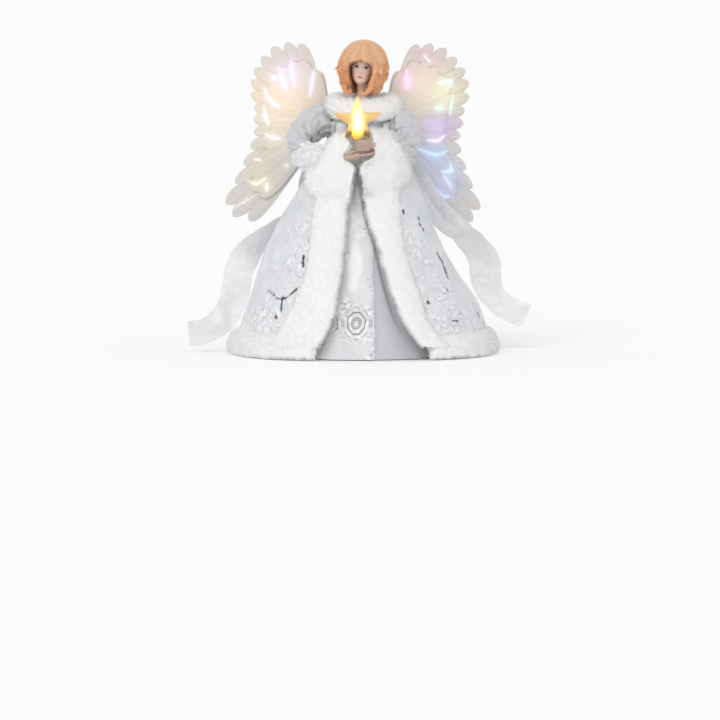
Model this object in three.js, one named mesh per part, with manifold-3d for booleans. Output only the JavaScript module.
// Angel tree topper, lit by batteries: a hollow cone that drops over a tree's tip, dressed in a
// brocade underskirt and a fur-trimmed coat, with a resin bust, two wired arms that hold a lit star,
// a pair of edge-lit feather wings on a bracket at the back, and a sheer sash.
// Millimetres, +Z up. The figure faces -Y. "left" is the -X side and "right" the +X side.
// The origin is on the cone's axis, at the surface that its rim stands on.

import * as THREE from "three";
import { mergeVertices } from "three/addons/utils/BufferGeometryUtils.js";
import Module from "manifold-3d";

const wasm = await Module();
wasm.setup();

// Clearances and overruns
const touchGap = 0.3; // between faces that rest on each other
const clothGap = 0.5; // between layers of cloth and fur, whose facets differ
const cutOverrun = 1; // how far a cutting tool runs past the face it cuts
const facetLimit = 0.03; // facets that differ by less are merged after a cut

// Body cone, the former that the skirts hang on and that takes the tree's tip
const coneBaseRadius = 98;
const coneTopRadius = 28;
const coneHeight = 188;
const coneWall = 2;
const coneRimWidth = 7; // width of the flat rim that it stands on
const coneRimThickness = 2;
const coneSegments = 30;

// Torso block, plugged into the cone's top
const torsoPlugDepth = 12;
const torsoFlange = 2.5;
const torsoHeight = 38; // from the cone's top to the shoulder plate's seat
const torsoHalfWidth = 28;
const torsoHalfDepth = 18;

// Cloth layers
const underskirtThickness = 1;
const underskirtHemHeight = 0.8; // above the surface
const underskirtFold = 3.4; // depth of a pleat at the hem
const underskirtPleats = 12;
const bodiceThickness = 1.4;
const coatThickness = 1.3;
const coatHemHeight = 5;
const coatTopDrop = 5; // from the shoulder plate's seat down to the coat's top edge
const coatFlare = 26; // how far the coat stands off the underskirt at its widest
const coatFold = 2.6; // depth of a fold at the hem
const coatFolds = 7;
const coatFoldTurn = THREE.MathUtils.degToRad(34); // of the folds, round the coat

// Fur trims
const furThickness = 8;
const hemFurHeight = 23;
const hemFurOverhang = THREE.MathUtils.degToRad(2); // past the coat's edge, into its opening
const frontFurOverhang = THREE.MathUtils.degToRad(3);
const hemFurLift = 0.6; // above the surface
const collarTubeRadius = 10.4;
const collarHalfWidth = 27; // of the collar's centre line
const collarHalfDepth = 18;
const collarRise = 11; // of the centre line's sides above the shoulder plate's seat
const collarDip = 3; // of the centre line at the front
const collarSetBack = 3; // of the ring's centre, towards the front

// Bust
const headHeight = 33;
const headHalfWidth = 11.8;
const headHalfDepth = 13;
const headRise = 46; // of the head's centre above the shoulder plate's seat
const headForward = 5;
const headTilt = THREE.MathUtils.degToRad(8); // leans towards the right side
const headTurn = THREE.MathUtils.degToRad(-12); // looks a little to the left side
const neckRadius = 6.4;
const shoulderHalfWidth = 29;
const shoulderHalfDepth = 17;
const shoulderPlateHeight = 14;

// Hair
const hairHalfWidth = 24;
const hairHalfDepth = 19;
const hairHeight = 53;
const faceWindowHalfWidth = 11.2;
const faceWindowTop = 5; // above the head's centre

// Arms: centre lines of the wires, from shoulder to wrist
const armWireRadius = 1.1;
const armChannelRadius = 4; // through the sleeves, for the wire and the star's lead
const leadRadius = 0.9;
const shoulderX = 24;
const shoulderDrop = 9; // below the shoulder plate's seat
const armReach = 62; // from the axis forward to the hands
const handDrop = 29.6; // of the line between the two hands, below the shoulder plate's seat
const handsX = -9; // the hands meet a little to the left of the middle
const leftElbowX = 62;
const rightElbowX = 38;

// Sleeves and cuffs
const puffHalfHeight = 13.5;
const puffHalfDepth = 15;
const lowerSleeveHalfHeight = 17;
const lowerSleeveHalfWidth = 10.5;
const cuffHalfHeight = 33; // of the mouth, which hangs down
const cuffHalfWidth = 15;
const cuffWall = 6;
const leftCuffLength = 41;
const rightCuffLength = 46;
const cuffAngle = THREE.MathUtils.degToRad(35); // of a cuff's line from the X axis, seen from above
const leftCuffInset = 7; // of a cuff towards the hands, from the arm's own line
const rightCuffInset = 10.5;
const leftCuffRise = 4;
const cuffBackDepth = 12.3; // the closed part of a cuff, behind its mouth

// Hands
const handHalfHeight = 5;
const handHalfDepth = 4.2;
const handLength = 27;

// Star and its lamp
const starRadius = 23.8;
const starWaistShare = 0.4; // of the radius, at the notches
const starLowerShare = 0.84; // of the radius, at the two lower points
const starHalfDepth = 5.5;
const starWall = 1.3;
const starSeamGap = 0.3;
const socketRadius = 5.4;
const socketHeight = 10;
const socketBore = 3; // radius of the hole that the lamp's pin and the lead go in
const lampRadius = 2.5;
const lampHeight = 8.5;
const starX = -13.5;
const starLean = THREE.MathUtils.degToRad(-2);

// Wings
const wingRootX = 27; // where the feathers start
const wingRootDrop = 7; // of the root, below the bracket's top
const wingSweepLeft = THREE.MathUtils.degToRad(20);
const wingSweepRight = THREE.MathUtils.degToRad(12); // this one is bent a little forwards
const wingLeanRight = THREE.MathUtils.degToRad(3.5); // and outwards
const wingSpan = 101; // from the root out to the longest feather's tip
const featherThickness = 1.3;
const featherStep = 0.6; // each second feather stands proud by this
const featherHalfWidth = 6.5;
const layerGap = 0.6; // between the long feathers and the coverts
const covertShare = 0.77; // of the long feathers' reach
const wingTabHeight = 20;
const wingTabDepth = 11; // into the bracket

// Wing bracket
const bracketHalfWidth = 22;
const bracketDepth = 17;
const bracketHeight = 27;
const bracketWall = 1.6;
const bracketStandOff = 6.8; // of the bracket's front from the torso's back
const bossHalfWidth = 9;
const bossHalfHeight = 9;
const boardThickness = 1.2;
const boardHalfWidth = 8;
const boardHalfHeight = 5.6;
const ledRadius = 2.5;
const ledLength = 6;
const screwHeadRadius = 2.4;
const screwHeadHeight = 1.6;
const screwShankRadius = 1.1;
const screwLength = 8;
const screwSlotWidth = 0.7;
const screwSlotDepth = 0.8;
const screwPostRadius = 2.6;

// Battery pack, inside the cone's back wall
const cellRadius = 7.1;
const cellLength = 50;
const cellNubRadius = 2.7;
const cellNubHeight = 1.4;
const cellPitch = 14.8;
const cellCount = 3;
const springLength = 5;
const springRadius = 3.6;
const springWireRadius = 0.35;
const springTurns = 3;
const contactThickness = 0.4;
const contactWidth = 9;
const caseWall = 1.6;
const caseFloor = 1.6;
const caseSaddle = 7; // the case's back fills this much towards the cone
const doorThickness = 1.6;
const doorClearance = 0.3;
const doorLip = 1.2; // of the grooves over the door's edges
const caseLift = 15; // of the case's lower end, along the cone's slope
const thumbRibCount = 4;
const thumbRibPitch = 2.4;
const thumbRibHeight = 0.5;
const switchLength = 11;
const switchWidth = 5.5;
const switchDepth = 4;
const knobLength = 3.4;
const knobWidth = 2.6;
const knobHeight = 2.2;
const switchTravel = 4; // from off to on

// Sash
const sashWidth = 28;
const sashThickness = 0.8;
const tailReach = 162.5; // of a tail's end from the middle
const bowHalfSpan = 34;
const bowDrop = 6; // of the bow's middle, below the cone's top
const knotHalfWidth = 7;
const knotHalfHeight = 9;
const knotHalfDepth = 5;

// Colours and finishes
const finish = (color, roughness, metalness = 0, opacity = 1) =>
  new THREE.MeshStandardMaterial({
    color,
    roughness,
    metalness,
    opacity,
    transparent: opacity < 1,
  });
const finishes = {
  shell: finish(0xf1efea, 0.6),
  torso: finish(0xe9e6df, 0.6),
  skin: finish(0xd9b3a0, 0.5),
  hair: finish(0xc98a52, 0.6),
  hands: finish(0xb9a08f, 0.55),
  brocade: finish(0xeceef0, 0.55),
  coat: finish(0xd9dbdf, 0.6),
  satin: finish(0xc4c6c8, 0.4),
  lace: finish(0xe6e7e8, 0.7),
  fur: finish(0xf2f2ef, 0.95),
  wing: finish(0xe4dcd2, 0.25, 0, 0.7),
  covert: finish(0xefe6da, 0.25, 0, 0.7),
  star: finish(0xf2b84a, 0.2, 0, 0.6),
  lamp: finish(0xfff2c4, 0.2),
  amber: finish(0xe9a93a, 0.35),
  steel: finish(0xb9bcc0, 0.35, 0.9),
  board: finish(0x2f6a48, 0.6),
  cable: finish(0xf0f0ee, 0.5),
  cell: finish(0x3a3d42, 0.4, 0.3),
  spring: finish(0xc8b98a, 0.35, 0.9),
  knob: finish(0x2a2b2d, 0.5),
  organza: finish(0xe9ebec, 0.5, 0, 0.5),
};

// Heights that follow from the body
const shoulderSeat = coneHeight + torsoHeight;
const handHeight = shoulderSeat - handDrop;
const bracketTop = shoulderSeat;
const wingRootZ = bracketTop - wingRootDrop;
const bowZ = coneHeight - bowDrop;

const lerp = THREE.MathUtils.lerp;
const degrees = THREE.MathUtils.degToRad;
const vec = (x, y, z) => new THREE.Vector3(x, y, z);
const fullTurn = 2 * Math.PI;

// A value read from a table of [place, value...] rows, straight between rows.
function tableAt(table, place, column = 1) {
  if (place <= table[0][0]) return table[0][column];
  for (let i = 1; i < table.length; i++) {
    const [low, high] = [table[i - 1], table[i]];
    if (place <= high[0])
      return lerp(low[column], high[column], (place - low[0]) / (high[0] - low[0]));
  }
  return table[table.length - 1][column];
}

// Solids

// The geometry as a manifold solid, turned to face out.
function solidOf(geometry) {
  const flat = geometry.index ? geometry.toNonIndexed() : geometry.clone();
  const bare = new THREE.BufferGeometry().setAttribute("position", flat.getAttribute("position"));
  const merged = mergeVertices(bare, 1e-4);
  const triVerts = new Uint32Array(merged.index.array);
  const make = () =>
    new wasm.Manifold(
      new wasm.Mesh({
        numProp: 3,
        vertProperties: new Float32Array(merged.attributes.position.array),
        triVerts,
      }),
    );
  const made = make();
  if (made.volume() >= 0) return made;
  for (let i = 0; i < triVerts.length; i += 3)
    [triVerts[i + 1], triVerts[i + 2]] = [triVerts[i + 2], triVerts[i + 1]];
  return make();
}

// A manifold solid's largest body as a geometry.
function geometryOf(solid) {
  const bodies = solid.decompose();
  const main = bodies.reduce((a, b) => (b.volume() > a.volume() ? b : a));
  const mesh = main.simplify(facetLimit).getMesh();
  const positions = new Float32Array(mesh.numVert * 3);
  for (let i = 0; i < mesh.numVert; i++)
    positions.set(mesh.vertProperties.subarray(i * mesh.numProp, i * mesh.numProp + 3), i * 3);
  return new THREE.BufferGeometry()
    .setAttribute("position", new THREE.BufferAttribute(positions, 3))
    .setIndex(new THREE.BufferAttribute(new Uint32Array(mesh.triVerts), 1));
}

const cut = (geometry, ...tools) =>
  geometryOf(tools.reduce((solid, tool) => solid.subtract(solidOf(tool)), solidOf(geometry)));
const join = (...parts) =>
  geometryOf(parts.map(solidOf).reduce((a, b) => a.add(b)));
const within = (geometry, tool) => geometryOf(solidOf(geometry).intersect(solidOf(tool)));

// A closed surface through rows of points. Each row is a ring, and the ends are capped.
function loft(rows) {
  const count = rows[0].length;
  const points = rows.flat();
  const middles = [rows[0], rows[rows.length - 1]].map((row) =>
    row.reduce((sum, p) => sum.add(p), vec(0, 0, 0)).divideScalar(count),
  );
  points.push(...middles);
  const [firstMiddle, lastMiddle] = [points.length - 2, points.length - 1];
  const lastRow = (rows.length - 1) * count;
  const index = [];
  for (let j = 0; j < count; j++) {
    const next = (j + 1) % count;
    for (let i = 0; i + 1 < rows.length; i++) {
      const [a, b] = [i * count + j, i * count + next];
      const [c, d] = [a + count, b + count];
      index.push(a, b, d, a, d, c);
    }
    index.push(firstMiddle, next, j, lastMiddle, lastRow + j, lastRow + next);
  }
  return pointGeometry(points, index);
}

// A closed wall between an outer and an inner grid of points. A wrapped grid goes all the way round.
function shell(outer, inner, wrapped) {
  const rows = outer.length;
  const columns = outer[0].length;
  const points = [...outer.flat(), ...inner.flat()];
  const half = rows * columns;
  const index = [];
  const quad = (a, b, c, d) => index.push(a, b, c, a, c, d);
  const at = (i, j) => i * columns + (j % columns);
  const steps = wrapped ? columns : columns - 1;
  for (let j = 0; j < steps; j++) {
    for (let i = 0; i + 1 < rows; i++) {
      quad(at(i, j), at(i, j + 1), at(i + 1, j + 1), at(i + 1, j));
      quad(half + at(i, j), half + at(i + 1, j), half + at(i + 1, j + 1), half + at(i, j + 1));
    }
    quad(at(0, j), half + at(0, j), half + at(0, j + 1), at(0, j + 1));
    quad(at(rows - 1, j), at(rows - 1, j + 1), half + at(rows - 1, j + 1), half + at(rows - 1, j));
  }
  if (!wrapped)
    for (let i = 0; i + 1 < rows; i++) {
      const end = columns - 1;
      quad(at(i, 0), at(i + 1, 0), half + at(i + 1, 0), half + at(i, 0));
      quad(at(i, end), half + at(i, end), half + at(i + 1, end), at(i + 1, end));
    }
  return pointGeometry(points, index);
}

// A closed surface from points and triangles, turned to face out
function pointGeometry(points, index) {
  let volume = 0;
  for (let i = 0; i < index.length; i += 3) {
    const [a, b, c] = index.slice(i, i + 3).map((k) => points[k]);
    volume += a.dot(b.clone().cross(c));
  }
  if (volume < 0)
    for (let i = 0; i < index.length; i += 3)
      [index[i + 1], index[i + 2]] = [index[i + 2], index[i + 1]];
  const positions = new Float32Array(points.flatMap((p) => [p.x, p.y, p.z]));
  return new THREE.BufferGeometry()
    .setAttribute("position", new THREE.BufferAttribute(positions, 3))
    .setIndex(index);
}

// A profile of [radius, height] points turned about Z.
const lathe = (profile, segments = 32) =>
  new THREE.LatheGeometry(
    profile.map(([r, z]) => new THREE.Vector2(r, z)),
    segments,
  ).rotateX(Math.PI / 2);

const rod = (radius, low, high, segments = 16) =>
  lathe([[0, low], [radius, low], [radius, high], [0, high]], segments);

const box = (low, high) =>
  new THREE.BoxGeometry(high[0] - low[0], high[1] - low[1], high[2] - low[2]).translate(
    (low[0] + high[0]) / 2,
    (low[1] + high[1]) / 2,
    (low[2] + high[2]) / 2,
  );

// A round tube along a smooth line through points.
function tube(points, radius, steps, sides = 8) {
  const circle = new THREE.Shape();
  for (let i = 0; i < sides; i++) {
    const angle = (fullTurn * i) / sides;
    const [x, y] = [radius * Math.cos(angle), radius * Math.sin(angle)];
    if (i) circle.lineTo(x, y);
    else circle.moveTo(x, y);
  }
  return new THREE.ExtrudeGeometry(circle, {
    steps,
    bevelEnabled: false,
    curveSegments: 1,
    extrudePath: new THREE.CatmullRomCurve3(points),
  });
}

// A ring of points: an ellipse about a middle, in the plane of two directions.
function ellipse(middle, across, up, halfWidth, halfHeight, count) {
  return Array.from({ length: count }, (_, i) => {
    const angle = (fullTurn * i) / count;
    return middle
      .clone()
      .addScaledVector(across, halfWidth * Math.cos(angle))
      .addScaledVector(up, halfHeight * Math.sin(angle));
  });
}

const xAxis = vec(1, 0, 0);
const yAxis = vec(0, 1, 0);
const zAxis = vec(0, 0, 1);

// A limb: upright ellipses along a line. Shares give [place along the line, width, height, drop].
function limb(points, halfWidth, halfHeight, shares, sections, count, grow = 0) {
  const line = new THREE.CatmullRomCurve3(points);
  const rows = [];
  for (let i = 0; i <= sections; i++) {
    const place = lerp(shares[0][0], shares[shares.length - 1][0], i / sections);
    const middle = line.getPointAt(place);
    const ahead = line.getTangentAt(place);
    const across = ahead.clone().cross(zAxis).normalize();
    const up = across.clone().cross(ahead).normalize();
    if (i === 0) middle.addScaledVector(ahead, -grow);
    if (i === sections) middle.addScaledVector(ahead, grow);
    middle.addScaledVector(zAxis, -tableAt(shares, place, 3) * halfHeight);
    const wide = tableAt(shares, place, 1) * halfWidth + grow;
    const high = tableAt(shares, place, 2) * halfHeight + grow;
    rows.push(ellipse(middle, across, up, wide, high, count));
  }
  return loft(rows);
}

// The body under the clothes: half-width and half-depth of the cone, then of the torso

// [share of the torso's height, half-width share, half-depth share]
const torsoShares = [
  [0, 0.93, 1.2],
  [0.25, 0.8, 0.95],
  [0.6, 0.93, 1],
  [0.88, 1.05, 0.85],
  [1, 0.85, 0.68],
];

function bodyAt(z) {
  if (z <= coneHeight) {
    const radius = lerp(coneBaseRadius, coneTopRadius, z / coneHeight);
    return [radius, radius];
  }
  const share = (z - coneHeight) / torsoHeight;
  const waistShare = Math.min(1, share / torsoShares[1][0]); // from the cone's round top to the torso
  return [
    lerp(coneTopRadius, torsoHalfWidth * tableAt(torsoShares, share, 1), waistShare),
    lerp(coneTopRadius, torsoHalfDepth * tableAt(torsoShares, share, 2), waistShare),
  ];
}

// Radius of the body at an angle from the front, towards the right side.
function bodyRadius(angle, z) {
  const [wide, deep] = bodyAt(z);
  return 1 / Math.hypot(Math.sin(angle) / wide, Math.cos(angle) / deep);
}

const polar = (angle, radius, z) => vec(radius * Math.sin(angle), -radius * Math.cos(angle), z);

function polarGrid(columns, rows, wrapped, angleAt, zAt, radiusAt) {
  const grid = [];
  for (let i = 0; i <= rows; i++) {
    const row = [];
    for (let j = 0; j < (wrapped ? columns : columns + 1); j++) {
      const z = zAt(i / rows, j / columns, i);
      const angle = angleAt(j / columns, z);
      row.push(polar(angle, radiusAt(angle, z, j / columns, i / rows), z));
    }
    grid.push(row);
  }
  return grid;
}

// Body cone: open at the bottom for the tree's tip
function bodyCone() {
  const slope = (coneBaseRadius - coneTopRadius) / coneHeight;
  const wall = coneWall * Math.hypot(1, slope);
  const form = lathe(
    [
      [coneBaseRadius - coneRimWidth, 0],
      [coneBaseRadius, 0],
      [coneTopRadius, coneHeight],
      [coneTopRadius - wall, coneHeight],
      [coneBaseRadius - wall - slope * coneRimThickness, coneRimThickness],
      [coneBaseRadius - coneRimWidth, coneRimThickness],
      [coneBaseRadius - coneRimWidth, 0],
    ],
    coneSegments,
  );
  return cut(form, ...caseScrewHoles().map((hole) => hole.applyMatrix4(packPlace)));
}

// The cone's hollow, less a gap, as a tool for what is fitted inside it
function coneInside() {
  const slope = (coneBaseRadius - coneTopRadius) / coneHeight;
  const wall = (coneWall + touchGap) * Math.hypot(1, slope);
  return lathe(
    [
      [0, coneRimThickness + touchGap],
      [coneBaseRadius - wall, 0],
      [coneTopRadius - wall, coneHeight],
      [0, coneHeight],
    ],
    coneSegments,
  );
}

// Torso block

function torsoLoft(grow = 0) {
  const rows = [0, 0.25, 0.5, 0.75, 1].map((share) => {
    const z = coneHeight + share * torsoHeight + (share ? 0 : touchGap);
    const [wide, deep] = bodyAt(z);
    const top = share < 1 ? 0 : grow;
    return ellipse(vec(0, 0, z + top), xAxis, yAxis, wide + grow, deep + grow, 18);
  });
  return loft(rows);
}

const bracketFront = torsoHalfDepth + bracketStandOff;
const bossZ = bracketTop - bracketHeight / 2;

// The boss on the torso's back that the bracket is screwed to
const bossForm = (reach, grow = 0) =>
  box(
    [-bossHalfWidth - grow, 0, bossZ - bossHalfHeight - grow],
    [bossHalfWidth + grow, reach, bossZ + bossHalfHeight + grow],
  );
const boss = () => bossForm(bracketFront - touchGap);
const bossHole = () => bossForm(bracketFront + cutOverrun, touchGap);

function torsoBlock() {
  const plugRadius = coneTopRadius - coneWall * 1.5 - touchGap;
  const plug = lathe(
    [
      [0, coneHeight - torsoPlugDepth],
      [plugRadius, coneHeight - torsoPlugDepth],
      [plugRadius, coneHeight + touchGap],
      [coneTopRadius, coneHeight + touchGap],
      [coneTopRadius, coneHeight + touchGap + torsoFlange],
      [0, coneHeight + touchGap + torsoFlange],
    ],
    24,
  );
  return cut(
    join(torsoLoft(), plug, boss()),
    wingLead(touchGap),
    starLead(touchGap),
    armWire(-1, touchGap),
    armWire(1, touchGap),
    ...bracketScrewPlaces().map((p) => screwAt(p, touchGap / 3)),
  );
}

// Arms: wires, leads and channels

function armLine(side) {
  const elbow = side < 0 ? leftElbowX : rightElbowX;
  const handZ = handHeight + side * (handHalfHeight + touchGap);
  const wristX = handsX + side * handLength * 0.55;
  return [
    vec(side * shoulderX, 0, shoulderSeat - shoulderDrop),
    vec(side * lerp(shoulderX, elbow, 0.7), -armReach * 0.05, shoulderSeat - shoulderDrop * 1.3),
    vec(side * elbow, -armReach * 0.3, lerp(shoulderSeat, handHeight, 0.75)),
    vec(lerp(side * elbow, wristX, 0.55), -armReach * 0.7, lerp(shoulderSeat, handZ, 0.9)),
    vec(wristX, -armReach * 0.95, handZ),
  ];
}

function armWire(side, grow = 0) {
  const line = armLine(side);
  const hand = vec(handsX + side * handLength * 0.3, -armReach, line[4].z);
  return tube([...line, hand], armWireRadius + grow, 18, 6);
}

const armChannel = (side) => {
  const line = armLine(side);
  const shift = leadOffset.clone().multiplyScalar(0.5);
  return tube(
    line.map((p) => p.clone().add(shift)),
    armChannelRadius,
    14,
    6,
  );
};

const handsTop = handHeight + 2 * (handHalfHeight + touchGap);
const leadOffset = vec(0, armWireRadius * 0.4, -(armWireRadius + leadRadius + 2 * touchGap));

function wingLead(grow = 0) {
  const inside = (z) => lerp(coneBaseRadius, coneTopRadius, z / coneHeight) - 3 * coneWall - leadRadius;
  const start = packPoint(0, packLength / 2 - caseWall / 2, packDepth * 0.3);
  const path = [start];
  for (const share of [0.55, 0.68, 0.8])
    path.push(vec(0, inside(share * coneHeight), share * coneHeight));
  path.push(
    vec(0, torsoHalfDepth * 0.5, coneHeight - torsoPlugDepth),
    vec(0, torsoHalfDepth * 0.3, coneHeight + torsoFlange),
    vec(0, torsoHalfDepth * 0.35, bossZ - bossHalfHeight * 0.6),
    vec(0, torsoHalfDepth * 0.8, bossZ - bossHalfHeight * 0.2),
    vec(0, bracketFront + bracketWall + touchGap, bossZ - bossHalfHeight * 0.2),
  );
  return tube(path, leadRadius + grow, 20, 6);
}

function starLead(grow = 0) {
  const line = armLine(1).map((p) => p.clone().add(leadOffset));
  const side = bossHalfWidth * 0.4;
  const path = [
    vec(side, bracketFront + bracketWall + touchGap, bossZ + bossHalfHeight * 0.3),
    vec(side, torsoHalfDepth * 0.8, bossZ + bossHalfHeight * 0.3),
    vec(shoulderX * 0.5, torsoHalfDepth * 0.25, bossZ + bossHalfHeight * 0.4),
    ...line,
    vec(starX, -armReach + handHalfDepth + leadRadius + 2 * touchGap, handHeight + handHalfHeight),
    vec(starX, -armReach + handHalfDepth * 0.5, handsTop + socketHeight * 0.35),
  ];
  return tube(path, leadRadius + grow, 30, 6);
}

// Bust and hair

const headPlace = new THREE.Matrix4()
  .makeTranslation(0, -headForward, shoulderSeat + headRise)
  .multiply(new THREE.Matrix4().makeRotationY(headTilt))
  .multiply(new THREE.Matrix4().makeRotationZ(headTurn));

// [share of the height, half-width share, half-depth share, share of the half-depth forward]
const headShares = [
  [-0.5, 0.2, 0.16, 0.68],
  [-0.44, 0.44, 0.38, 0.52],
  [-0.3, 0.74, 0.7, 0.25],
  [-0.14, 0.92, 0.92, 0.04],
  [0.06, 1, 1, 0],
  [0.24, 1, 1, -0.04],
  [0.4, 0.8, 0.8, -0.08],
  [0.5, 0.36, 0.38, -0.12],
];
const hairShares = [
  [-0.5, 0.6, 0.5, -0.1],
  [-0.38, 0.72, 0.66, -0.1],
  [-0.24, 0.86, 0.84, -0.08],
  [-0.08, 0.98, 0.98, 0],
  [0.06, 1, 1, 0],
  [0.22, 0.9, 0.95, 0],
  [0.36, 0.7, 0.8, 0],
  [0.45, 0.44, 0.52, 0],
  [0.5, 0.18, 0.2, 0],
];

function headForm(shares, height, halfWidth, halfDepth, count, grow = 0) {
  const rows = shares.map(([place, wide, deep, forward]) =>
    ellipse(
      vec(0, -forward * halfDepth, place * (height + 2 * grow)),
      xAxis,
      yAxis,
      wide * halfWidth + grow,
      deep * halfDepth + grow,
      count,
    ),
  );
  return loft(rows).applyMatrix4(headPlace);
}

function bustForm(grow = 0) {
  const seat = shoulderSeat + touchGap;
  const plateShares = [
    [0, 1],
    [0.3, 0.97],
    [0.55, 0.82],
    [0.78, 0.5],
    [1, 0],
  ];
  const rows = plateShares.map(([place, share]) =>
    ellipse(
      vec(0, -headForward * 0.4 * place, seat + place * shoulderPlateHeight + (place ? grow : -grow)),
      xAxis,
      yAxis,
      lerp(neckRadius, shoulderHalfWidth, share) + grow,
      lerp(neckRadius, shoulderHalfDepth, share) + grow,
      18,
    ),
  );
  const headMiddle = vec(0, 0, 0).applyMatrix4(headPlace);
  const neckTop = vec(headMiddle.x, headMiddle.y + headHalfDepth * 0.1, headMiddle.z - headHeight * 0.2);
  rows.push(ellipse(neckTop, xAxis, yAxis, neckRadius + grow, neckRadius + grow, 18));
  return join(loft(rows), headForm(headShares, headHeight, headHalfWidth, headHalfDepth, 16, grow));
}

// The hair is one wig cap, open over the face and the throat.
function hair() {
  const window = new THREE.Shape();
  const low = -hairHeight;
  const high = faceWindowTop - faceWindowHalfWidth * 0.75;
  window.moveTo(-faceWindowHalfWidth * 0.72, low);
  window.lineTo(faceWindowHalfWidth * 0.72, low);
  window.lineTo(faceWindowHalfWidth, -headHeight * 0.3);
  window.lineTo(faceWindowHalfWidth, high);
  window.absellipse(0, high, faceWindowHalfWidth, faceWindowHalfWidth * 0.75, 0, Math.PI, false);
  window.lineTo(-faceWindowHalfWidth, -headHeight * 0.3);
  const opening = new THREE.ExtrudeGeometry(window, {
    depth: 2 * hairHalfDepth,
    bevelEnabled: false,
    curveSegments: 8,
  })
    .rotateX(Math.PI / 2)
    .translate(0, -headHalfDepth * 0.12, 0)
    .applyMatrix4(headPlace);
  return cut(
    headForm(hairShares, hairHeight, hairHalfWidth, hairHalfDepth, 14),
    bustForm(touchGap),
    opening,
    collarForm(clothGap),
  );
}

// Clothes

function bodice() {
  return cut(
    torsoLoft(touchGap + bodiceThickness),
    torsoLoft(touchGap),
    box(
      [-2 * torsoHalfWidth, -2 * torsoHalfWidth, shoulderSeat - touchGap],
      [2 * torsoHalfWidth, 2 * torsoHalfWidth, 2 * shoulderSeat],
    ),
    box(
      [-2 * torsoHalfWidth, -2 * torsoHalfWidth, 0],
      [2 * torsoHalfWidth, 2 * torsoHalfWidth, coneHeight + torsoFlange + 3 * touchGap],
    ),
    bossHole(),
    armChannel(-1),
    armChannel(1),
  );
}

const underskirtTop = coneHeight;

// Outer face of the underskirt. Pleats deepen towards the hem.
function underskirtRadius(angle, z) {
  const share = 1 - z / underskirtTop;
  const pleat = (1 + Math.cos(underskirtPleats * angle)) / 2;
  return bodyRadius(angle, z) + clothGap + underskirtThickness + underskirtFold * share * pleat;
}

function underskirt() {
  const grid = (inset) =>
    polarGrid(
      4 * underskirtPleats,
      2,
      true,
      (u) => fullTurn * u,
      (v) => lerp(underskirtHemHeight, underskirtTop, v),
      (angle, z) => underskirtRadius(angle, z) - inset,
    );
  return shell(grid(0), grid(underskirtThickness), true);
}

// All that the underskirt takes up with a gap round it, for what hangs in front of it
function underskirtRoom() {
  const columns = 4 * underskirtPleats;
  const rows = [underskirtHemHeight, underskirtTop / 2, underskirtTop, underskirtTop + clothGap];
  return loft(
    rows.map((z) =>
      Array.from({ length: columns }, (_, i) => {
        const angle = (fullTurn * i) / columns;
        return polar(angle, underskirtRadius(angle, Math.min(z, underskirtTop)) + clothGap, z);
      }),
    ),
  );
}

const coatTop = shoulderSeat - coatTopDrop;

// How far the coat stands off, against its height: at the left, the right, the front and the back
const coatFlareShares = [
  [0, 0.66, 0.7, 0.42, 0.06],
  [0.12, 0.78, 0.86, 0.36, 0.08],
  [0.2, 0.84, 0.9, 0.3, 0.1],
  [0.34, 0.94, 0.56, 0.22, 0.13],
  [0.5, 0.97, 0.38, 0.16, 0.14],
  [0.68, 0.7, 0.42, 0.12, 0.12],
  [0.84, 0.4, 0.32, 0.1, 0.06],
  [1, 0.12, 0.12, 0.04, 0],
];
// [share of the height, left edge, right edge] of the opening, in degrees from the front
const coatOpening = [
  [0, -34, 27],
  [0.14, -27, 17],
  [0.28, -25, 12],
  [0.45, -24, 7],
  [0.7, -25, -3],
  [0.84, -28, 10],
  [1, -46, 46],
];

const coatShare = (z) => (z - coatHemHeight) / (coatTop - coatHemHeight);

// Outer face of the coat
function coatRadius(angle, z) {
  const share = THREE.MathUtils.clamp(coatShare(z), 0, 1);
  const side = Math.sin(angle) ** 2;
  const leftOrRight = Math.sin(angle) < 0 ? 1 : 2;
  const frontOrBack = Math.cos(angle) > 0 ? 3 : 4;
  const flare =
    side * tableAt(coatFlareShares, share, leftOrRight) +
    (1 - side) * tableAt(coatFlareShares, share, frontOrBack);
  const fold = ((1 + Math.cos(coatFolds * angle + coatFoldTurn)) / 2) * coatFold * (1 - share) ** 1.5;
  const pleatRoom = z < underskirtTop ? underskirtFold * (1 - z / underskirtTop) : 0;
  const under = Math.max(underskirtThickness, bodiceThickness);
  const inner = bodyRadius(angle, z) + 2 * clothGap + under + pleatRoom;
  return inner + coatThickness + coatFlare * flare + fold;
}

const openingAngle = (z, column) => degrees(tableAt(coatOpening, coatShare(z), column));
const coatAngle = (u, z) => lerp(openingAngle(z, 2), openingAngle(z, 1) + fullTurn, u);

// Rows of the coat, with one each at the cone's top and where the torso has drawn in
const coatRowShares = [0, 0.1, 0.2, 0.34, 0.5, 0.68, 0.77, 0.852, 0.892, 1];
const coatRows = coatRowShares.map((share) => lerp(coatHemHeight, coatTop, share));

// The coat's rows between two heights, and the two heights themselves
const rowsBetween = (low, high) => [low, ...coatRows.filter((z) => z > low && z < high), high];

function coatForm(grow = 0) {
  const grid = (offset) =>
    polarGrid(
      36,
      coatRows.length - 1,
      false,
      (u, z) => coatAngle(u, z),
      (v, u, i) => coatRows[i],
      (angle, z) => coatRadius(angle, z) + offset,
    );
  return shell(grid(grow), grid(-coatThickness - grow), false);
}

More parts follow.
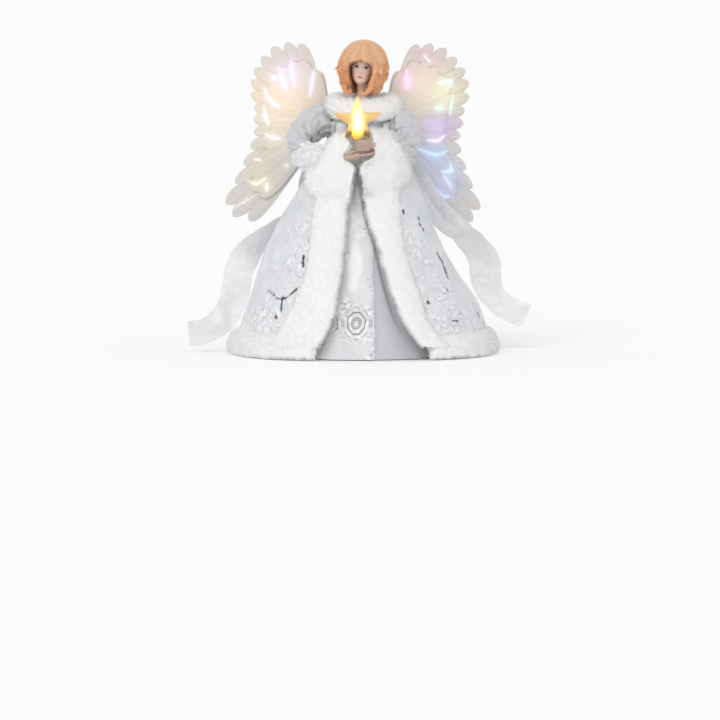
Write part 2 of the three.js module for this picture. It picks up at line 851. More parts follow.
// All that is inside the coat, with a gap round it
function coatRoom() {
  const grid = (reach) =>
    polarGrid(
      36,
      coatRows.length - 1,
      false,
      (u, z) => coatAngle(u, z),
      (v, u, i) => coatRows[i],
      (angle, z) => reach * (coatRadius(angle, z) + clothGap),
    );
  return shell(grid(1), grid(0.2), false);
}

const coat = () => cut(coatForm(), bossHole(), armChannel(-1), armChannel(1));

// Fur: a rounded band that lies on the coat
const furRound = (share) => 0.25 + 0.75 * Math.sqrt(Math.max(0, 1 - (2 * share - 1) ** 2));

// [share of the height, left width, right width] of the front bands, in degrees
const frontFurWidth = [
  [0, 30, 17],
  [0.14, 27, 15],
  [0.28, 24, 19],
  [0.45, 25, 22],
  [0.7, 33, 40],
  [0.84, 31, 35],
  [1, 20, 20],
];
const furTop = lerp(coatHemHeight, coatTop, 0.86);

function frontFurForm(side, grow = 0) {
  const rows = rowsBetween(hemFurLift + hemFurHeight + clothGap - grow, furTop + grow);
  const overhang = frontFurOverhang + grow / coatFlare;
  const column = side < 0 ? 1 : 2;
  const angleAt = (u, z) => {
    const edge = openingAngle(z, column) - side * overhang;
    const width = degrees(tableAt(frontFurWidth, coatShare(z), column)) + (2 * grow) / coatFlare;
    return edge + side * u * width;
  };
  const grid = (offset) =>
    polarGrid(
      5,
      rows.length - 1,
      false,
      angleAt,
      (v, u, i) => rows[i],
      (angle, z, u) =>
        coatRadius(angle, z) + clothGap + (2 * offset - 1) * grow + offset * furThickness * furRound(u),
    );
  return shell(grid(1), grid(0), false);
}

function hemFur() {
  const start = openingAngle(0, 2) - hemFurOverhang;
  const end = openingAngle(0, 1) + fullTurn + hemFurOverhang;
  const angleAt = (u) => lerp(start, end, u);
  const grid = (offset) =>
    polarGrid(
      42,
      3,
      false,
      angleAt,
      (v) => lerp(hemFurLift, hemFurLift + hemFurHeight, v),
      (angle, z, u, v) => coatRadius(angle, z) + clothGap + offset * furThickness * furRound(v),
    );
  return shell(grid(1), grid(0), false);
}

// The collar is a closed roll of fur round the shoulders.
function collarForm(grow = 0) {
  const segments = 20;
  const sides = 8;
  const points = [];
  const index = [];
  for (let i = 0; i < segments; i++) {
    const angle = (fullTurn * i) / segments;
    const out = vec(Math.sin(angle), -Math.cos(angle), 0);
    const middle = vec(
      collarHalfWidth * out.x,
      collarHalfDepth * out.y - collarSetBack,
      shoulderSeat + collarRise + collarDip * out.y,
    );
    points.push(...ellipse(middle, out, zAxis, collarTubeRadius + grow, collarTubeRadius + grow, sides));
    for (let j = 0; j < sides; j++) {
      const [a, b] = [i * sides + j, i * sides + ((j + 1) % sides)];
      const [c, d] = [a, b].map((k) => (k + sides) % (segments * sides));
      index.push(a, b, d, a, d, c);
    }
  }
  return pointGeometry(points, index);
}

const collarFur = () =>
  cut(collarForm(), bustForm(touchGap), torsoLoft(2 * touchGap + bodiceThickness), coatForm(clothGap));

// Sleeves and cuffs

const puffShares = [
  [0.06, 0.55, 0.6, 0],
  [0.14, 0.95, 0.92, 0],
  [0.22, 1.05, 1.02, 0],
  [0.3, 1, 1, 0],
  [0.38, 0.78, 0.8, 0.12],
  [0.43, 0.45, 0.45, 0.2],
];
const lowerSleeveShares = [
  [0.32, 0.55, 0.4, 0.55],
  [0.4, 0.95, 0.8, 0.5],
  [0.48, 1.05, 1, 0.45],
  [0.58, 1.05, 1.05, 0.4],
  [0.66, 0.9, 0.95, 0.4],
];
const cuffShares = [
  [0, 0.85, 0.56, 0.3],
  [0.3, 1.05, 0.78, 0.38],
  [0.65, 1.08, 0.96, 0.46],
  [1, 0.86, 1, 0.5],
];

const puffForm = (side, grow = 0) =>
  limb(armLine(side), puffHalfDepth, puffHalfHeight, puffShares, 6, 12, grow);
const lowerSleeveForm = (side, grow = 0) =>
  limb(armLine(side), lowerSleeveHalfWidth, lowerSleeveHalfHeight, lowerSleeveShares, 5, 12, grow);

const upperSleeve = (side) =>
  cut(
    puffForm(side),
    torsoLoft(touchGap + bodiceThickness + clothGap),
    coatForm(clothGap),
    collarForm(clothGap),
    armChannel(side),
    cuffForm(side, clothGap),
  );

const lowerSleeve = (side) =>
  cut(
    lowerSleeveForm(side),
    puffForm(side, clothGap),
    coatForm(clothGap),
    armChannel(side),
    cuffForm(side, clothGap),
  );

// The cuff's line runs straight at the hand, and its mouth hangs below it.
function cuffLine(side) {
  const line = new THREE.CatmullRomCurve3(armLine(side));
  const wrist = line.getPointAt(0.94);
  wrist.add(side < 0 ? vec(leftCuffInset, 0, leftCuffRise) : vec(-rightCuffInset, 0, 0));
  const back = vec(side * Math.cos(cuffAngle), Math.sin(cuffAngle), 0);
  return [wrist.clone().addScaledVector(back, side < 0 ? leftCuffLength : rightCuffLength), wrist];
}

const cuffForm = (side, grow = 0) =>
  limb(cuffLine(side), cuffHalfWidth, cuffHalfHeight, cuffShares, 5, 16, grow);

// The hollow of a cuff, open at the hand
function cuffMouth(side, wall) {
  const [back, front] = cuffLine(side);
  const ahead = front.clone().sub(back).normalize();
  return limb(
    [
      back.clone().addScaledVector(ahead, cuffBackDepth),
      front.clone().addScaledVector(ahead, cutOverrun),
    ],
    cuffHalfWidth - wall,
    cuffHalfHeight - wall,
    cuffShares,
    3,
    12,
  );
}

function cuffFur(side) {
  return cut(
    cuffForm(side),
    cuffMouth(side, cuffWall),
    armChannel(side),
    armWire(side, clothGap),
    starLead(clothGap),
    handForm(-side, clothGap),
    coatRoom(),
    collarForm(clothGap),
    torsoLoft(touchGap + bodiceThickness + clothGap),
    underskirtRoom(),
    frontFurForm(-1, 2 * clothGap),
    frontFurForm(1, 2 * clothGap),
  );
}

// Hands: the left one is below and the right one above

const handShares = [
  [0, 0.62, 0.66, 0],
  [0.25, 0.95, 1, 0],
  [0.5, 1, 1, 0],
  [0.75, 0.8, 0.85, 0.05],
  [0.93, 0.55, 0.6, 0.1],
  [1, 0.25, 0.3, 0.12],
];

function handForm(side, grow = 0) {
  const z = handHeight + side * (handHalfHeight + touchGap);
  const at = (share, forward) => vec(handsX + side * handLength * share, -armReach * forward, z);
  const wrist = at(0.55, 0.97);
  return limb(
    [wrist, at(0.2, 1), at(-0.2, 1.02), at(-0.52, 1)],
    handHalfDepth,
    handHalfHeight,
    handShares,
    8,
    12,
    grow,
  );
}

// A cuff's fur with a gap round it, which keeps the hand clear of it
const cuffFurRoom = (side) => cut(cuffForm(side, clothGap), cuffMouth(side, cuffWall + clothGap));

const hand = (side) =>
  cut(handForm(side), armWire(side, touchGap), starLead(touchGap), cuffFurRoom(side));

// Star: two faceted half shells round a lamp, in a socket on the hands

const socketZ = handsTop + touchGap;
const starZ = socketZ + socketHeight * 0.98 + starRadius * starWaistShare * 0.8;

function starOutline(radius) {
  return Array.from({ length: 10 }, (_, i) => {
    const angle = Math.PI / 2 + (fullTurn * i) / 10;
    const lower = i === 4 || i === 6;
    const reach = i % 2 ? radius * starWaistShare : radius * (lower ? starLowerShare : 1);
    return vec(reach * Math.cos(angle), 0, reach * Math.sin(angle));
  });
}

// A half star: a low pyramid over the outline, towards the front (-1) or the back (1)
function starHalf(facing, radius, depth, seam) {
  const rim = starOutline(radius).map((p) => p.setY((facing * seam) / 2));
  const peak = vec(0, facing * depth, 0);
  const points = [...rim, peak, vec(0, (facing * seam) / 2, 0)];
  const index = [];
  for (let i = 0; i < 10; i++) {
    const next = (i + 1) % 10;
    index.push(i, next, 10, next, i, 11);
  }
  return pointGeometry(points, index);
}

function starShell(facing) {
  const inner = starHalf(facing, starRadius - 3 * starWall, starHalfDepth - starWall, -2 * cutOverrun);
  const bottom = -starRadius * starWaistShare;
  const throat = rod(socketRadius + 3 * touchGap, bottom - socketHeight, 0, 12);
  return cut(starHalf(facing, starRadius, starHalfDepth, starSeamGap), inner, throat);
}

function starSocket() {
  const top = socketHeight;
  const profile = [
    [0, 0],
    [socketRadius * 0.72, 0],
    [socketRadius, top * 0.45],
    [socketRadius * 0.9, top],
    [0, top],
  ];
  const lead = starLead(touchGap).translate(-starX, armReach, -socketZ);
  return cut(lathe(profile, 16), rod(socketBore, top * 0.25, top + cutOverrun, 12), lead);
}

function lamp() {
  const base = socketHeight * 0.4;
  const neck = socketHeight + touchGap;
  return lathe(
    [
      [0, base],
      [socketBore - touchGap, base],
      [socketBore - touchGap, neck],
      [lampRadius, neck],
      [lampRadius, neck + lampHeight * 0.6],
      [lampRadius * 0.7, neck + lampHeight * 0.88],
      [0, neck + lampHeight],
    ],
    16,
  );
}

// Wings

// [degrees above the horizon, reach as a share of the span], from the top feather to the lowest
const featherShares = [
  [76, 0.49],
  [69, 0.78],
  [60.5, 0.85],
  [51.5, 0.895],
  [42.5, 0.905],
  [34, 0.9],
  [26, 0.88],
  [18, 0.835],
  [9.5, 0.775],
  [0.5, 0.76],
  [-9, 0.755],
  [-18.5, 0.81],
  [-27, 0.93],
  [-33.5, 1.085],
  [-38.5, 1.275],
  [-44.5, 1.3],
  [-51, 1.225],
];

// Outline of one feather from the root, as [reach share, half-width share]
const featherOutline = [
  [0.04, 0.3],
  [0.6, 0.9],
  [0.86, 1],
  [0.95, 0.76],
  [1, 0.3],
];

function feather(angle, reach, halfWidth, low, high) {
  const along = vec(Math.cos(angle), 0, Math.sin(angle));
  const across = vec(-Math.sin(angle), 0, Math.cos(angle));
  const edge = (sign) =>
    featherOutline.map(([r, w]) =>
      along.clone().multiplyScalar(r * reach).addScaledVector(across, sign * w * halfWidth),
    );
  const rim = [...edge(1), ...edge(-1).reverse()].map((p) => new THREE.Vector2(p.x, p.z));
  const outline = new THREE.Shape(rim);
  return new THREE.ExtrudeGeometry(outline, { depth: high - low, bevelEnabled: false })
    .rotateX(Math.PI / 2)
    .translate(0, high, 0);
}

// One layer of a wing, in the wing's own plane: x outwards, z up, y through its thickness
function wingLayer(reachShare, widthShare, halfStep, low) {
  const feathers = featherShares.map(([angle, share], i) => {
    const next = featherShares[Math.min(i + 1, featherShares.length - 1)];
    const at = halfStep ? [(angle + next[0]) / 2, (share + next[1]) / 2] : [angle, share];
    const proud = i % 2 ? featherStep : 0;
    return feather(
      degrees(at[0]),
      at[1] * wingSpan * reachShare,
      featherHalfWidth * widthShare * (0.75 + 0.3 * at[1]),
      low - proud,
      low + featherThickness,
    );
  });
  if (halfStep) feathers.pop();
  const hub = loft(
    [low, low + featherThickness].map((y) =>
      ellipse(vec(wingTabHeight * 0.25, y, 0), xAxis, zAxis, wingTabHeight * 0.8, wingTabHeight * 0.7, 16),
    ),
  );
  const tab = box(
    [-wingTabDepth, low, -wingTabHeight * 0.75],
    [wingTabHeight * 0.3, low + featherThickness, wingTabHeight * 0.25],
  );
  return join(tab, hub, ...feathers);
}

const covertLow = -(featherThickness + featherStep + layerGap);

// A wing's own frame: its x axis runs out and back
function wingFrame(side) {
  const frame = new THREE.Group();
  const sweep = side < 0 ? Math.PI - wingSweepLeft : wingSweepRight;
  const lean = new THREE.Matrix4().makeRotationY(side < 0 ? 0 : wingLeanRight);
  frame.applyMatrix4(lean.premultiply(new THREE.Matrix4().makeRotationZ(sweep)));
  frame.position.set(side * wingRootX, wingRootY, wingRootZ);
  frame.updateMatrix();
  return frame;
}

// The layer's front face has to look forwards on both sides, so the left wing is mirrored.
function wingPiece(side, covert) {
  const layer = covert
    ? wingLayer(covertShare, 1.08, true, covertLow)
    : wingLayer(1, 1, false, 0);
  return side < 0 ? geometryOf(solidOf(layer.scale(1, -1, 1))) : layer;
}

const wingRootY = bracketFront + bracketDepth * 0.62;

// The tab of both layers with a gap round it, as a tool for the bracket's slots
function wingTabTool(side) {
  const tool = box(
    [-wingTabDepth - cutOverrun, covertLow - touchGap, -wingTabHeight * 0.75 - touchGap],
    [wingTabHeight, featherThickness + touchGap, wingTabHeight * 0.7 + touchGap],
  );
  if (side < 0) tool.scale(1, -1, 1);
  return tool.applyMatrix4(wingFrame(side).matrix);
}

// Wing bracket, its cover, the board and the lamps

const bracketBack = bracketFront + bracketDepth;
const bracketLow = bracketTop - bracketHeight;
const postInset = screwPostRadius * 0.8; // a post's middle from the wall that it grows out of
const coverScrewPlaces = () =>
  [bracketTop - bracketWall - postInset, bracketLow + bracketWall + postInset].map((z) =>
    vec(0, bracketBack + touchGap + bracketWall, z),
  );
const bracketScrewPlaces = () =>
  [-1, 1].map((side) =>
    vec(side * bossHalfWidth * 0.62, bracketFront + bracketWall, bossZ + bossHalfHeight * 0.55 * -side),
  );

// A pan-head screw without its slot, with the seat under its head at zero
function screwForm(grow = 0) {
  return lathe(
    [
      [0, -screwLength - grow],
      [screwShankRadius + grow, -screwLength - grow],
      [screwShankRadius + grow, touchGap - grow],
      [screwHeadRadius + grow, touchGap - grow],
      [screwHeadRadius + grow, screwHeadHeight + touchGap + grow],
      [0, screwHeadHeight + touchGap + grow],
    ],
    12,
  );
}

function screw() {
  const top = screwHeadHeight + touchGap;
  const slot = box(
    [-screwHeadRadius - cutOverrun, -screwSlotWidth / 2, top - screwSlotDepth],
    [screwHeadRadius + cutOverrun, screwSlotWidth / 2, top + cutOverrun],
  );
  return cut(screwForm(), slot);
}

const backwards = new THREE.Matrix4().makeRotationX(-Math.PI / 2);
const screwAt = (place, grow) =>
  screwForm(grow).applyMatrix4(backwards).translate(place.x, place.y, place.z);

function wingBracket() {
  const outer = box(
    [-bracketHalfWidth, bracketFront, bracketLow],
    [bracketHalfWidth, bracketBack, bracketTop],
  );
  const inner = box(
    [-bracketHalfWidth + bracketWall, bracketFront + bracketWall, bracketLow + bracketWall],
    [bracketHalfWidth - bracketWall, bracketBack + cutOverrun, bracketTop - bracketWall],
  );
  const posts = coverScrewPlaces().map((p) =>
    rod(screwPostRadius, bracketFront + bracketWall / 2, bracketBack - bracketWall - touchGap, 12)
      .applyMatrix4(backwards)
      .translate(p.x, 0, p.z),
  );
  return cut(
    join(geometryOf(solidOf(outer).subtract(solidOf(inner))), ...posts),
    wingTabTool(-1),
    wingTabTool(1),
    wingLead(touchGap),
    starLead(touchGap),
    ...coverScrewPlaces().map((p) => screwAt(p, touchGap / 3)),
    ...bracketScrewPlaces().map((p) => screwAt(p, touchGap / 3)),
  );
}

// The cover drops a lip into the bracket's open back.
function wingCover() {
  const inset = bracketWall + 2 * touchGap;
  const plate = box(
    [-bracketHalfWidth, bracketBack + touchGap, bracketLow],
    [bracketHalfWidth, bracketBack + touchGap + bracketWall, bracketTop],
  );
  const lip = box(
    [-bracketHalfWidth + inset, bracketBack - bracketWall, bracketLow + inset],
    [bracketHalfWidth - inset, bracketBack + touchGap + bracketWall / 2, bracketTop - inset],
  );
  const hollow = box(
    [-bracketHalfWidth + 3 * bracketWall, bracketBack - 2 * bracketWall, bracketLow + 3 * bracketWall],
    [bracketHalfWidth - 3 * bracketWall, bracketBack + touchGap, bracketTop - 3 * bracketWall],
  );
  return cut(
    join(plate, lip),
    hollow,
    wingTabTool(-1),
    wingTabTool(1),
    ...coverScrewPlaces().map((p) => screwAt(p, touchGap / 3)),
  );
}

// The board rests over the bracket screws' heads, clear of them, and carries the lamps.
const boardFront = bracketFront + bracketWall + screwHeadHeight + 3 * touchGap;

function controlBoard() {
  return box(
    [-boardHalfWidth, boardFront, bossZ - boardHalfHeight],
    [boardHalfWidth, boardFront + boardThickness, bossZ + boardHalfHeight],
  );
}

// A lamp that shines sideways into a wing's tab, with a foot on the board
function wingLed(side) {
  const middleY = boardFront + boardThickness + touchGap + ledRadius;
  const start = boardHalfWidth - ledLength * 0.6;
  return lathe(
    [
      [0, start],
      [ledRadius, start],
      [ledRadius, start + ledLength * 0.7],
      [ledRadius * 0.7, start + ledLength * 0.92],
      [0, start + ledLength],
    ],
    14,
  )
    .rotateY((side * Math.PI) / 2)
    .translate(0, middleY, bossZ);
}

// Battery pack, in its own frame: x across, y up the slope, z from the cone's wall towards the axis

const packWidth = cellCount * cellPitch + 2 * caseWall;
const bayLength = cellLength + cellNubHeight + springLength + 2 * contactThickness + 2 * touchGap;
const packLength = bayLength + 2 * caseWall;
const packDepth = caseFloor + 2 * cellRadius + touchGap;
const coneSlope = Math.atan((coneBaseRadius - coneTopRadius) / coneHeight);
const cellZ = caseFloor + cellRadius + touchGap / 2;

// The pack's back is a plane that touches the cone's round wall along its two long edges.
const packMiddle = caseLift + packLength / 2; // along the slope
const packConeRadius = coneBaseRadius - packMiddle * Math.sin(coneSlope);
const packSeatY = Math.sqrt((packConeRadius - 2 * coneWall) ** 2 - (packWidth / 2) ** 2) - touchGap;
const packPlace = new THREE.Matrix4()
  .makeBasis(
    xAxis,
    vec(0, -Math.sin(coneSlope), Math.cos(coneSlope)),
    vec(0, -Math.cos(coneSlope), -Math.sin(coneSlope)),
  )
  .setPosition(0, packSeatY, packMiddle * Math.cos(coneSlope));
const packInverse = packPlace.clone().invert();
const packPoint = (x, y, z) => vec(x, y, z).applyMatrix4(packPlace);

function batteryCase() {
  const [w, l] = [packWidth / 2, packLength / 2];
  const rail = doorThickness + 2 * doorClearance;
  const block = box([-w, -l, -caseSaddle], [w, l, packDepth]);
  const bay = box(
    [-w + caseWall, -l + caseWall, caseFloor],
    [w - caseWall, l - caseWall, packDepth + cutOverrun],
  );
  // Two grooved rails hold the door's edges.
  const rails = [-1, 1].map((s) => {
    const outer = box(
      [-w - caseWall, -l, packDepth - 2 * caseWall],
      [-w + doorLip, l, packDepth + rail + caseWall],
    );
    const groove = box(
      [-w - doorClearance, -l - cutOverrun, packDepth],
      [cutOverrun - w + doorLip, l + cutOverrun, packDepth + rail],
    );
    const made = cut(outer, groove);
    if (s > 0) made.scale(-1, 1, 1);
    return made;
  });
  const stop = box([-w, l - caseWall, packDepth - cutOverrun], [w, l, packDepth + rail + caseWall]);
  const coneRoom = coneInside().applyMatrix4(packInverse);
  return cut(
    within(cut(join(block, ...rails, stop), bay), coneRoom),
    switchBody(touchGap),
    knobSlot(),
    wingLead(touchGap).applyMatrix4(packInverse),
    ...caseScrewHoles(),
  );
}

// The screws' holes right through the case's back and the cone's wall, in the pack's own frame
const caseScrewHoles = () =>
  caseScrewPlaces().map((p) => caseScrewForm(touchGap / 3, 2 * coneWall).translate(p.x, p.y, p.z));

function batteryDoor() {
  const [w, l] = [packWidth / 2, packLength / 2];
  const plate = box(
    [-w, -l, packDepth + doorClearance],
    [w, l - caseWall - doorClearance, packDepth + doorClearance + doorThickness],
  );
  const ribs = Array.from({ length: thumbRibCount }, (_, i) => {
    const y = -l + packLength * 0.12 + i * thumbRibPitch;
    const top = packDepth + doorClearance + doorThickness;
    return box([-w / 3, y, top - thumbRibHeight], [w / 3, y + thumbRibPitch / 2, top + thumbRibHeight]);
  });
  return join(plate, ...ribs);
}

// A cell lies along the slope. Each second one is turned end for end.
const cellX = (i) => (i - (cellCount - 1) / 2) * cellPitch;
const cellSign = (i) => (i % 2 ? -1 : 1);

function cell(i) {
  const half = cellLength / 2;
  const shift = (springLength - cellNubHeight) / 2;
  return lathe(
    [
      [0, -half],
      [cellRadius * 0.9, -half],
      [cellRadius, -half + cellRadius * 0.1],
      [cellRadius, half - cellRadius * 0.1],
      [cellRadius * 0.9, half],
      [cellNubRadius, half],
      [cellNubRadius, half + cellNubHeight],
      [0, half + cellNubHeight],
    ],
    14,
  )
    .translate(0, 0, shift)
    .rotateX(cellSign(i) > 0 ? -Math.PI / 2 : Math.PI / 2)
    .translate(cellX(i), 0, cellZ);
}

// A tapering coil between a cell's flat end and the contact strip
function contactSpring(i) {
  const stepsPerTurn = 7;
  const wireSides = 4;
  const low = -packLength / 2 + caseWall + contactThickness + 2 * touchGap + springWireRadius;
  const high = (springLength - cellNubHeight) / 2 - cellLength / 2 - touchGap - springWireRadius;
  const steps = springTurns * stepsPerTurn;
  const rows = [];
  for (let k = 0; k <= steps; k++) {
    const share = k / steps;
    const angle = fullTurn * springTurns * share;
    const radius = lerp(springRadius, springRadius * 0.55, share);
    const out = vec(Math.cos(angle), 0, Math.sin(angle));
    const middle = out.clone().multiplyScalar(radius).setY(lerp(low, high, share));
    rows.push(ellipse(middle, out, yAxis, springWireRadius, springWireRadius, wireSides));
  }
  return loft(rows)
    .rotateZ(cellSign(i) > 0 ? 0 : Math.PI)
    .translate(cellX(i), 0, cellZ);
}

// A strip across the bay's end, which links the cells
function contactStrip(end) {
  const near = packLength / 2 - caseWall - touchGap;
  const [low, high] = end > 0 ? [near - contactThickness, near] : [-near, -near + contactThickness];
  const half = packWidth / 2 - caseWall - touchGap;
  return box([-half, low, cellZ - contactWidth / 2], [half, high, cellZ + contactWidth / 2]);
}

const caseScrewPlaces = () => [-1, 1].map((s) => vec((s * cellPitch) / 2, 0, caseFloor));

// From the pack's back plane out to the cone's inner face, where the screws go through
function saddleDepth() {
  const inner = packConeRadius - coneWall / Math.cos(coneSlope);
  return (Math.sqrt(inner ** 2 - (cellPitch / 2) ** 2) - packSeatY) * Math.cos(coneSlope);
}

// Countersunk flush with the bay's floor, between the cells, and driven into the cone's wall
function caseScrewForm(grow = 0, beyond = 0) {
  const length = caseFloor + saddleDepth() + coneWall * 0.6 + beyond;
  return lathe(
    [
      [0, -length - grow],
      [screwShankRadius + grow, -length - grow],
      [screwShankRadius + grow, -screwHeadHeight],
      [screwHeadRadius + grow, grow],
      [0, grow],
    ],
    12,
  );
}

function caseScrew() {
  const slot = box(
    [-screwHeadRadius - cutOverrun, -screwSlotWidth / 2, -screwSlotDepth],
    [screwHeadRadius + cutOverrun, screwSlotWidth / 2, cutOverrun],
  );
  return cut(caseScrewForm(), slot);
}

// The slide switch sits in the case's lower end wall, with its knob pointing down.
const switchX = packWidth / 4;
const switchZ = -caseSaddle * 0.1;
const switchTop = -packLength / 2 + caseWall + switchDepth;

function switchBody(grow = 0) {
  return box(
    [switchX - switchLength / 2 - grow, switchTop - switchDepth - grow, switchZ - switchWidth / 2 - grow],
    [switchX + switchLength / 2 + grow, switchTop + grow, switchZ + switchWidth / 2 + grow],
  );
}

const knobX = switchX + switchTravel / 2;

function switchKnob() {
  const top = switchTop - switchDepth - touchGap;
  return box(
    [knobX - knobLength / 2, -packLength / 2 - knobHeight, switchZ - knobWidth / 2],
    [knobX + knobLength / 2, top, switchZ + knobWidth / 2],
  );
}

function knobSlot() {
  const reach = switchTravel / 2 + knobLength / 2 + touchGap;
  return box(
    [switchX - reach, -packLength / 2 - cutOverrun, switchZ - knobWidth / 2 - touchGap],
    [switchX + reach, switchTop - switchDepth, switchZ + knobWidth / 2 + touchGap],
  );
}

// Sash: two wired tails and a bow at the back

// A thin strip along a line. Each row is [x, y, z, degrees, width share]. The strip's width lies
// across the line and square to the facing direction, turned by that angle about the line.
function strip(rows, facing, width, thickness, steps) {
  const line = new THREE.CatmullRomCurve3(rows.map(([x, y, z]) => vec(x, y, z)));
  const turns = rows.map((row, i) => [i / (rows.length - 1), row[3], row[4]]);
  const faces = [[], []];
  for (let i = 0; i <= steps; i++) {
    const t = i / steps;
    const tangent = line.getTangent(t);
    const level = facing(tangent).normalize();
    const across = level.applyAxisAngle(tangent, degrees(tableAt(turns, t)));
    const normal = tangent.clone().cross(across).normalize();
    const middle = line.getPoint(t);
    const half = (width / 2) * tableAt(turns, t, 2);
    faces.forEach((face, side) => {
      const centre = middle.clone().addScaledVector(normal, (side - 0.5) * thickness);
      face.push([-1, 0, 1].map((a) => centre.clone().addScaledVector(across, a * half)));
    });
  }
  return shell(...faces, false);
}

const bowY = coatRadius(Math.PI, bowZ) + clothGap + knotHalfDepth;

// Tails as shares: x of the reach, y and z of the bow's depth and height, then the strip's turn in
// degrees and its width share
const leftTailShares = [
  [-0.03, 1, 0.97, 0, 0.4],
  [-0.14, 0.94, 0.98, -12, 0.7],
  [-0.26, 0.9, 0.94, -40, 0.9],
  [-0.335, 0.96, 0.77, -58, 0.94],
  [-0.49, 0.98, 0.63, -50, 1],
  [-0.62, 0.98, 0.54, -20, 1],
  [-0.69, 1.02, 0.43, 20, 1],
  [-0.71, 1.02, 0.33, 12, 0.98],
  [-0.745, 1, 0.23, 8, 0.94],
  [-0.82, 0.92, 0.15, 5, 0.9],
  [-0.91, 0.84, 0.108, 0, 0.86],
  [-1, 0.76, 0.1, -8, 0.84],
];
const rightTailShares = [
  [0.03, 1, 0.97, 0, 0.4],
  [0.13, 0.94, 0.99, 12, 0.7],
  [0.25, 0.84, 0.98, 25, 0.9],
  [0.34, 0.82, 0.88, 22, 1],
  [0.42, 0.8, 0.78, 18, 1],
  [0.515, 0.79, 0.69, 25, 0.94],
  [0.62, 0.84, 0.615, 38, 1],
  [0.7, 0.92, 0.545, 36, 1.05],
  [0.755, 0.96, 0.46, 12, 1.08],
  [0.765, 0.96, 0.37, 8, 1.04],
  [0.8, 0.92, 0.285, -10, 0.9],
  [0.88, 0.84, 0.22, -15, 0.86],
  [1, 0.76, 0.175, -10, 0.84],
];

function sashTail(shares) {
  const rows = shares.map(([x, y, z, turn, width]) => [
    x * tailReach,
    y * bowY,
    z * bowZ,
    turn,
    width,
  ]);
  return cut(
    strip(rows, (tangent) => yAxis.clone().cross(tangent), sashWidth, sashThickness, 26),
    knotForm(clothGap),
    coatForm(clothGap),
    bowLoop(-1, clothGap),
    bowLoop(1, clothGap),
  );
}

function knotForm(grow = 0) {
  const shares = [
    [-1, 0.35],
    [-0.7, 0.8],
    [0, 1],
    [0.7, 0.8],
    [1, 0.35],
  ];
  const rows = shares.map(([place, share]) =>
    ellipse(
      vec(0, bowY + knotHalfDepth * 0.4, bowZ + place * (knotHalfHeight + grow)),
      xAxis,
      yAxis,
      knotHalfWidth * share + grow,
      knotHalfDepth * share + grow,
      14,
    ),
  );
  return loft(rows);
}

// A loop of ribbon that leaves the knot, turns at its end and comes back
function bowLoop(side, grow = 0) {
  const loopShares = [
    [0, 1, 0],
    [0.45, 1.3, 0.12],
    [0.8, 1.5, 0.1],
    [1, 2.7, 0],
    [0.8, 3.9, -0.1],
    [0.4, 3.1, -0.1],
    [0, 1.5, 0],
  ];
  const rows = loopShares.map(([x, y, z]) => [
    side * bowHalfSpan * x,
    bowY + knotHalfDepth * (y - 0.6),
    bowZ + knotHalfHeight * z,
    0,
    1,
  ]);
  const upright = (tangent) => zAxis.clone().addScaledVector(tangent, -tangent.z);
  return strip(rows, upright, sashWidth * 0.8 + 2 * grow, sashThickness + 2 * grow, 14);
}

const sashBow = () => cut(join(knotForm(), bowLoop(-1), bowLoop(1)), coatForm(clothGap));

// The assembly

const topper = new THREE.Group();

function add(name, geometry, material, parent = topper) {
  geometry.deleteAttribute("normal");
  geometry.deleteAttribute("uv");
  geometry.computeVertexNormals();
  const mesh = new THREE.Mesh(geometry, material);
  mesh.name = name;
  parent.add(mesh);
  return mesh;
}

const sideName = (side) => (side < 0 ? "left" : "right");

add("body_cone", bodyCone(), finishes.shell);
add("torso_block", torsoBlock(), finishes.torso);
add("bust", bustForm(), finishes.skin);
add("hair", hair(), finishes.hair);
add("bodice", bodice(), finishes.satin);
add("underskirt", underskirt(), finishes.brocade);
add("coat", coat(), finishes.coat);
add("hem_fur", hemFur(), finishes.fur);
add("collar_fur", collarFur(), finishes.fur);
for (const side of [-1, 1]) {
  add(`front_fur_${sideName(side)}`, frontFurForm(side), finishes.fur);
  add(`upper_sleeve_${sideName(side)}`, upperSleeve(side), finishes.satin);
  add(`lower_sleeve_${sideName(side)}`, lowerSleeve(side), finishes.lace);
  add(`cuff_fur_${sideName(side)}`, cuffFur(side), finishes.fur);
  add(`arm_wire_${sideName(side)}`, armWire(side), finishes.steel);
  add(`hand_${sideName(side)}`, hand(side), finishes.hands);
}
add("star_lead", starLead(), finishes.cable);
add("wing_lead", wingLead(), finishes.cable);

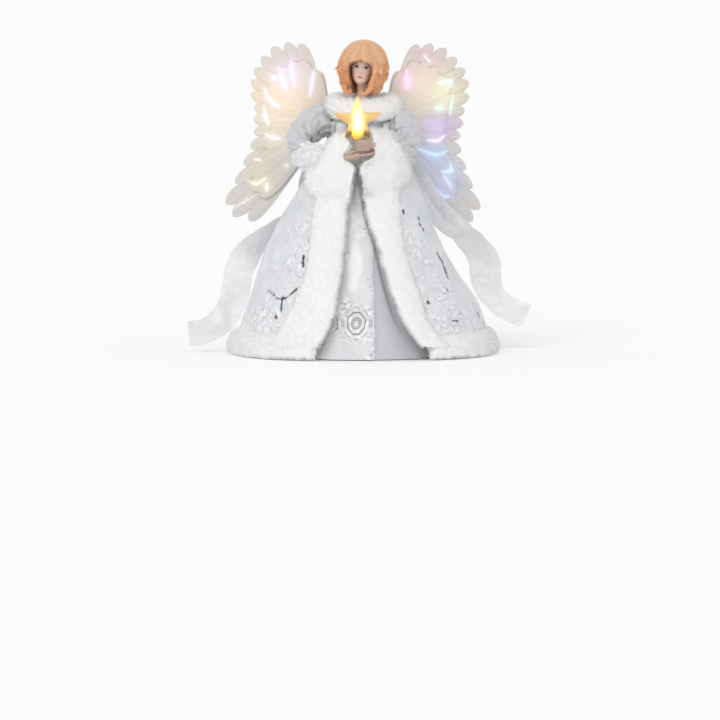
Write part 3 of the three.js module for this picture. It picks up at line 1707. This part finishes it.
const star = new THREE.Group();
star.position.set(starX, -armReach, starZ);
star.rotation.y = starLean;
topper.add(star);
add("star_front", starShell(-1), finishes.star, star);
add("star_back", starShell(1), finishes.star, star);

const lampStand = new THREE.Group();
lampStand.position.set(starX, -armReach, socketZ);
topper.add(lampStand);
add("star_socket", starSocket(), finishes.amber, lampStand);
add("star_lamp", lamp(), finishes.lamp, lampStand);

for (const side of [-1, 1]) {
  const frame = wingFrame(side);
  topper.add(frame);
  add(`wing_feathers_${sideName(side)}`, wingPiece(side, false), finishes.wing, frame);
  add(`wing_coverts_${sideName(side)}`, wingPiece(side, true), finishes.covert, frame);
  add(`wing_led_${sideName(side)}`, wingLed(side), finishes.lamp);
}
add("wing_bracket", wingBracket(), finishes.shell);
add("wing_cover", wingCover(), finishes.shell);
add("control_board", controlBoard(), finishes.board);

// A screw stands in a frame of its own, with its head towards the back
function placeScrew(name, place) {
  const frame = new THREE.Group();
  frame.position.copy(place);
  frame.rotation.x = -Math.PI / 2;
  topper.add(frame);
  add(name, screw(), finishes.steel, frame);
}
coverScrewPlaces().forEach((place, i) => placeScrew(`cover_screw_${i + 1}`, place));
bracketScrewPlaces().forEach((place, i) => placeScrew(`bracket_screw_${i + 1}`, place));

const pack = new THREE.Group();
pack.applyMatrix4(packPlace);
topper.add(pack);
add("battery_case", batteryCase(), finishes.shell, pack);
add("battery_door", batteryDoor(), finishes.shell, pack);
add("switch_body", switchBody(), finishes.knob, pack);
add("switch_knob", switchKnob(), finishes.knob, pack);
for (let i = 0; i < cellCount; i++) {
  add(`cell_${i + 1}`, cell(i), finishes.cell, pack);
  add(`cell_spring_${i + 1}`, contactSpring(i), finishes.spring, pack);
}
add("contact_strip_lower", contactStrip(-1), finishes.steel, pack);
add("contact_strip_upper", contactStrip(1), finishes.steel, pack);
caseScrewPlaces().forEach((place, i) => {
  const mesh = add(`case_screw_${i + 1}`, caseScrew(), finishes.steel, pack);
  mesh.position.copy(place);
});

add("sash_tail_left", sashTail(leftTailShares), finishes.organza);
add("sash_tail_right", sashTail(rightTailShares), finishes.organza);
add("sash_bow", sashBow(), finishes.organza);

export default topper;
